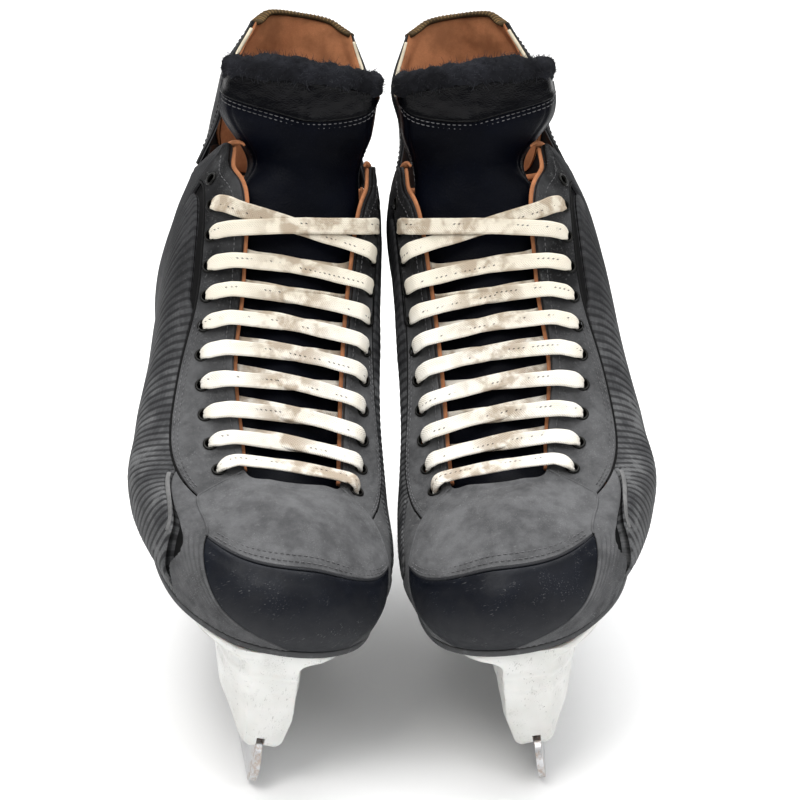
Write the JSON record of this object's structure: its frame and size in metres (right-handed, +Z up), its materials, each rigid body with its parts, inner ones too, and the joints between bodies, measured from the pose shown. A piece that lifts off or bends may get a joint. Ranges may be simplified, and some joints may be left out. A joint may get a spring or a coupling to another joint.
{
  "type": "hockey skates",
  "caption": "Pair of laced ice hockey skates with tendon guards, padded tongues, white blade holders and steel runners, leaning on each other.",
  "frame": {"origin": "centre of the pair's bounding box at its bottom, on the ice", "axes": "+Z up, toes point to -Y, +X is the wearer's left, and the left skate stands at +X"},
  "size_m": [0.2432, 0.298, 0.2943],
  "materials": {
    "leather": "grained black leather with a soft sheen and creases",
    "ribbed": "black woven quarter with fine diagonal ribs",
    "nubuck": "matt scuffed charcoal nubuck",
    "cap": "smooth blue-black moulded toe cap, lightly scuffed",
    "composite": "black composite sole",
    "tan": "tan synthetic suede lining",
    "felt": "dark grey frayed felt",
    "foam": "closed-cell foam",
    "board": "fibre insole board",
    "plastic": "white moulded nylon, scuffed and speckled",
    "steel": "ground stainless steel, lightly rusted at the toe",
    "zinc": "zinc-plated steel",
    "lace": "flat woven waxed cotton in off-white with a black tracer"
  },
  "bodies": {
    "right_skate": {"right_outsole": "composite", "right_insole_board": "board", "right_footbed": "felt", "right_toe_cap": "cap", "right_vamp": "nubuck", "right_side_panel_lateral": "leather", "right_side_panel_medial": "leather", "right_quarter_lateral": "ribbed", "right_quarter_medial": "ribbed", "right_facing_lateral": "leather", "right_facing_medial": "leather", "right_backstay": "leather", "right_lining": "tan", "right_ankle_pad_lateral": "foam", "right_ankle_pad_medial": "foam", "right_tongue_lower": "leather", "right_tongue_lower_felt": "felt", "right_holder": "plastic", "right_runner": "steel", "right_runner_bolt_front": "zinc", "right_runner_bolt_rear": "zinc", "right_runner_nut_front": "zinc", "right_runner_nut_rear": "zinc", "right_lace": "lace", "right_lace_tail_lateral": "lace", "right_lace_tail_medial": "lace"},
    "right_tendon_guard": {"right_tendon_guard": "leather", "right_tendon_guard_lining": "tan"},
    "right_tongue_top": {"right_tongue_upper": "leather", "right_tongue_upper_felt": "felt"},
    "left_skate": {"left_outsole": "composite", "left_insole_board": "board", "left_footbed": "felt", "left_toe_cap": "cap", "left_vamp": "nubuck", "left_side_panel_lateral": "leather", "left_side_panel_medial": "leather", "left_quarter_lateral": "ribbed", "left_quarter_medial": "ribbed", "left_facing_lateral": "leather", "left_facing_medial": "leather", "left_backstay": "leather", "left_lining": "tan", "left_ankle_pad_lateral": "foam", "left_ankle_pad_medial": "foam", "left_tongue_lower": "leather", "left_tongue_lower_felt": "felt", "left_holder": "plastic", "left_runner": "steel", "left_runner_bolt_front": "zinc", "left_runner_bolt_rear": "zinc", "left_runner_nut_front": "zinc", "left_runner_nut_rear": "zinc", "left_lace": "lace", "left_lace_tail_lateral": "lace", "left_lace_tail_medial": "lace"},
    "left_tendon_guard": {"left_tendon_guard": "leather", "left_tendon_guard_lining": "tan"},
    "left_tongue_top": {"left_tongue_upper": "leather", "left_tongue_upper_felt": "felt"}
  },
  "joints": [
    {"name": "left_skate_slide", "type": "slide", "parent": "right_skate", "child": "left_skate", "axis": [1, 0, 0], "range_m": [0, 0.12]},
    {"name": "right_guard_hinge", "type": "hinge", "parent": "right_skate", "child": "right_tendon_guard", "pos_m": [-0.05452, 0.13738, 0.20754], "axis": [-0.9838, -0.0809, 0.1599], "range_deg": [0, 20], "stiffness_Nm_per_rad": 1.2},
    {"name": "right_tongue_hinge", "type": "hinge", "parent": "right_skate", "child": "right_tongue_top", "pos_m": [-0.04205, 0.02502, 0.25868], "axis": [0.9838, 0.0809, -0.1599], "range_deg": [0, 50], "stiffness_Nm_per_rad": 0.3},
    {"name": "left_guard_hinge", "type": "hinge", "parent": "left_skate", "child": "left_tendon_guard", "pos_m": [0.05452, 0.13738, 0.20754], "axis": [-0.9838, 0.0809, -0.1599], "range_deg": [0, 20], "stiffness_Nm_per_rad": 1.2},
    {"name": "left_tongue_hinge", "type": "hinge", "parent": "left_skate", "child": "left_tongue_top", "pos_m": [0.04205, 0.02502, 0.25868], "axis": [0.9838, -0.0809, 0.1599], "range_deg": [0, 50], "stiffness_Nm_per_rad": 0.3}
  ]
}
